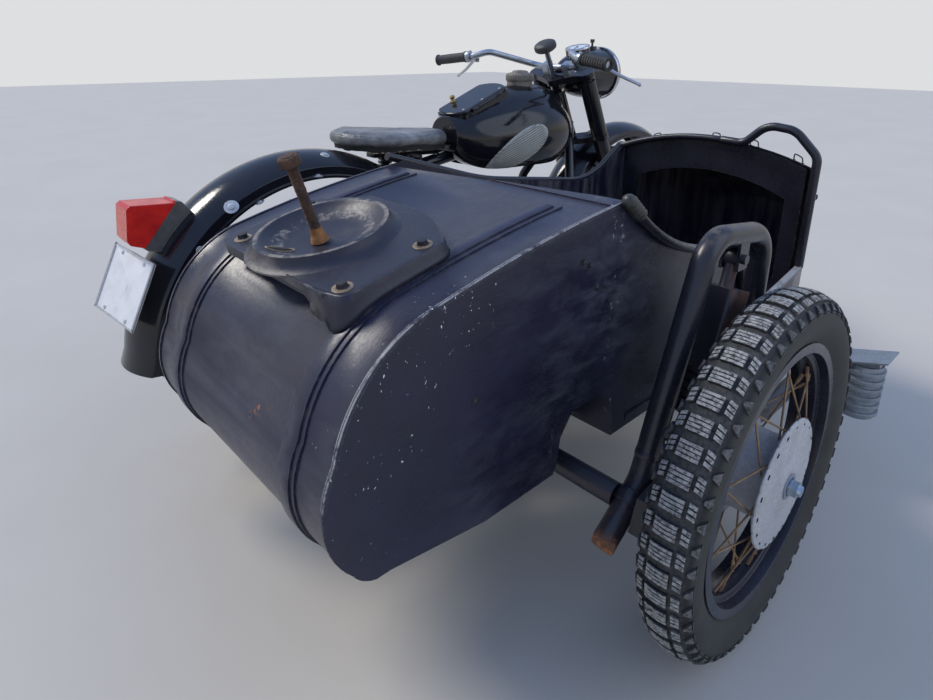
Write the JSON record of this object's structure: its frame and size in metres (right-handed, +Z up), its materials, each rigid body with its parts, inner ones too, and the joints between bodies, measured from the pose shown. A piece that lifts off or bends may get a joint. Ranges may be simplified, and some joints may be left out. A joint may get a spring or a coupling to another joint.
{
  "type": "sidecar motorcycle",
  "caption": "Flat-twin motorcycle with a one-seat sidecar on its right: spoked wheels, steering fork, spare-wheel carrier on the sidecar deck.",
  "frame": {"origin": "on the ground, under the middle of the outfit seen from above", "axes": "+X forward, +Y to the machine's left (the sidecar is on -Y), +Z up"},
  "size_m": [2.3906, 1.6206, 1.1088],
  "materials": {
    "black_paint": "gloss",
    "chassis_paint": "satin",
    "tyre_rubber": "matte",
    "rubber": "matte",
    "aluminium": "satin",
    "engine_metal": "satin",
    "cast_iron": "matte",
    "zinc_steel": "satin",
    "rusty_steel": "matte",
    "chrome": "polished",
    "saddle_cover": "satin",
    "seat_fabric": "satin",
    "lamp_lens": "gloss",
    "plate_white": "satin"
  },
  "bodies": {
    "machine": {"body_mounts": "rubber", "carrier_bolt": "rusty_steel", "carrier_plate": "black_paint", "cockpit_rim": "black_paint", "cylinder_left": "cast_iron", "cylinder_right": "cast_iron", "engine_block": "engine_metal", "entry_step": "zinc_steel", "exhaust": "chrome", "filler_cap": "rusty_steel", "final_drive": "engine_metal", "foot_pegs": "rubber", "fuel_tank": "black_paint", "grab_handle": "black_paint", "knee_pads": "rubber", "main_frame": "black_paint", "number_plate": "plate_white", "rear_fender": "black_paint", "rear_suspension": "black_paint", "saddle": "saddle_cover", "saddle_springs": "chassis_paint", "seat_backrest": "seat_fabric", "seat_cushion": "seat_fabric", "sidecar_body": "black_paint", "sidecar_frame": "chassis_paint", "sidecar_struts": "chassis_paint", "tail_lamp": "lamp_lens", "wheel_arm": "chassis_paint", "wheel_hoop": "chassis_paint", "wheel_shock": "chassis_paint"},
    "rear_wheel": {"rear_tyre": "tyre_rubber", "rear_rim": "black_paint", "rear_hub": "aluminium"},
    "front_wheel": {"front_tyre": "tyre_rubber", "front_rim": "black_paint", "front_hub": "aluminium"},
    "sidecar_wheel": {"sidecar_tyre": "tyre_rubber", "sidecar_rim": "black_paint", "sidecar_hub": "aluminium"},
    "steering": {"front_fork": "black_paint", "handlebar": "zinc_steel", "hand_controls": "rubber", "headlamp": "black_paint", "front_fender": "black_paint"},
    "tool_lid": {"toolbox_lid": "black_paint"}
  },
  "joints": [
    {"name": "rear_wheel_spin", "type": "hinge", "parent": "machine", "child": "rear_wheel", "pos_m": [-0.68987, 0.39769, 0.345], "axis": [0, 1, 0], "continuous": true},
    {"name": "front_wheel_spin", "type": "hinge", "parent": "steering", "child": "front_wheel", "pos_m": [0.76013, 0.39769, 0.345], "axis": [0, 1, 0], "continuous": true},
    {"name": "sidecar_wheel_spin", "type": "hinge", "parent": "machine", "child": "sidecar_wheel", "pos_m": [-0.42987, -0.73231, 0.345], "axis": [0, 1, 0], "continuous": true},
    {"name": "steering", "type": "hinge", "parent": "machine", "child": "steering", "pos_m": [0.39285, 0.39769, 0.87], "axis": [-0.454, 0, 0.891], "range_deg": [-36, 36]},
    {"name": "toolbox_lid_hinge", "type": "hinge", "parent": "machine", "child": "tool_lid", "pos_m": [-0.06466, 0.32969, 0.91867], "axis": [0.9336, 0, 0.3584], "range_deg": [0, 95]}
  ]
}
